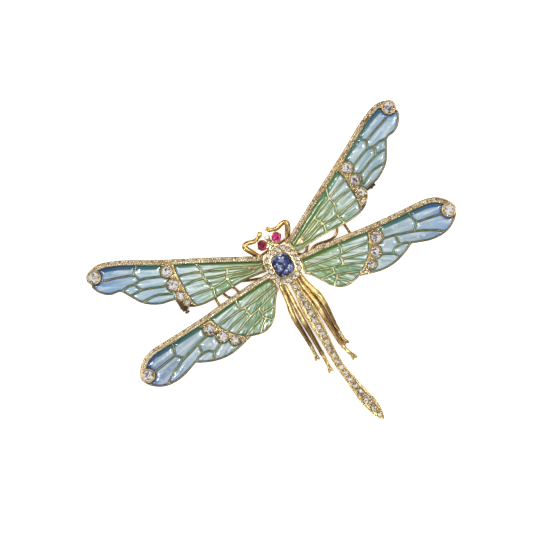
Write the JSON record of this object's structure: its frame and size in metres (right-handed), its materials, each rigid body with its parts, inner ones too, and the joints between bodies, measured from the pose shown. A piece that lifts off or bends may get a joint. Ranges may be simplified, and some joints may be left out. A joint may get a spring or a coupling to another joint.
{
  "type": "dragonfly brooch",
  "caption": "Gold dragonfly brooch with see-through enamel wings, a large blue stone in a diamond halo, a diamond-set tail, and a hinged pin and safety catch on its back.",
  "frame": {"origin": "on the surface the brooch lies on, straight under the middle of the big blue stone", "axes": "+X across the body towards the wings on the side of the pin hinge, +Y along the body towards the head, +Z from the wearer to the viewer"},
  "size_m": [0.1147, 0.0888, 0.0073],
  "materials": {
    "gold": "polished yellow gold",
    "dark_gold": "textured gold, darkened in its hollows",
    "diamond": "cut and polished clear stone",
    "sapphire": "cut and polished deep blue stone",
    "ruby": "cut and polished pinkish red stone",
    "dark_ruby": "cut and polished crimson stone",
    "enamel": "glossy see-through enamel, green at the roots and pale blue at the tips"
  },
  "bodies": {
    "brooch": {"thorax": "gold", "sapphire": "sapphire", "halo_diamonds": "diamond", "head": "gold", "eye_left": "dark_ruby", "eye_right": "ruby", "foreleg_left": "gold", "foreleg_right": "gold", "forewing_left": "gold", "forewing_right": "gold", "hindwing_left": "gold", "hindwing_right": "gold", "forewing_left_enamel": "enamel", "forewing_right_enamel": "enamel", "hindwing_left_enamel": "enamel", "hindwing_right_enamel": "enamel", "forewing_left_tip_diamond": "diamond", "forewing_right_tip_diamond": "diamond", "hindwing_left_tip_diamond": "diamond", "hindwing_right_tip_diamond": "diamond", "forewing_left_diamond_1": "diamond", "forewing_left_diamond_2": "diamond", "forewing_left_diamond_3": "diamond", "forewing_left_diamond_4": "diamond", "forewing_right_diamond_1": "diamond", "forewing_right_diamond_2": "diamond", "forewing_right_diamond_3": "diamond", "forewing_right_diamond_4": "diamond", "hindwing_left_diamond_1": "diamond", "hindwing_left_diamond_2": "diamond", "hindwing_left_diamond_3": "diamond", "hindwing_left_diamond_4": "diamond", "hindwing_right_diamond_1": "diamond", "hindwing_right_diamond_2": "diamond", "hindwing_right_diamond_3": "diamond", "hindwing_right_diamond_4": "diamond", "abdomen": "gold", "abdomen_diamonds": "diamond", "hind_leg_left_outer": "dark_gold", "hind_leg_left_inner": "dark_gold", "hind_leg_right_outer": "dark_gold", "hind_leg_right_inner": "dark_gold", "wing_brace_left": "dark_gold", "wing_brace_right": "dark_gold", "wing_stay_left": "dark_gold", "wing_stay_right": "dark_gold", "pin_hinge": "gold", "catch": "gold"},
    "stem": {"pin_stem": "gold"},
    "lever": {"catch_lever": "gold"}
  },
  "joints": [
    {"name": "stem_hinge", "type": "hinge", "parent": "brooch", "child": "stem", "pos_m": [0.037, 0.0086, 0.0015], "axis": [0.0603, -0.9982, 0], "range_deg": [0, 100]},
    {"name": "lever_turn", "type": "hinge", "parent": "brooch", "child": "lever", "pos_m": [-0.0342, 0.0043, 0.0015], "axis": [-0.9982, -0.0603, 0], "range_deg": [0, 60]}
  ]
}
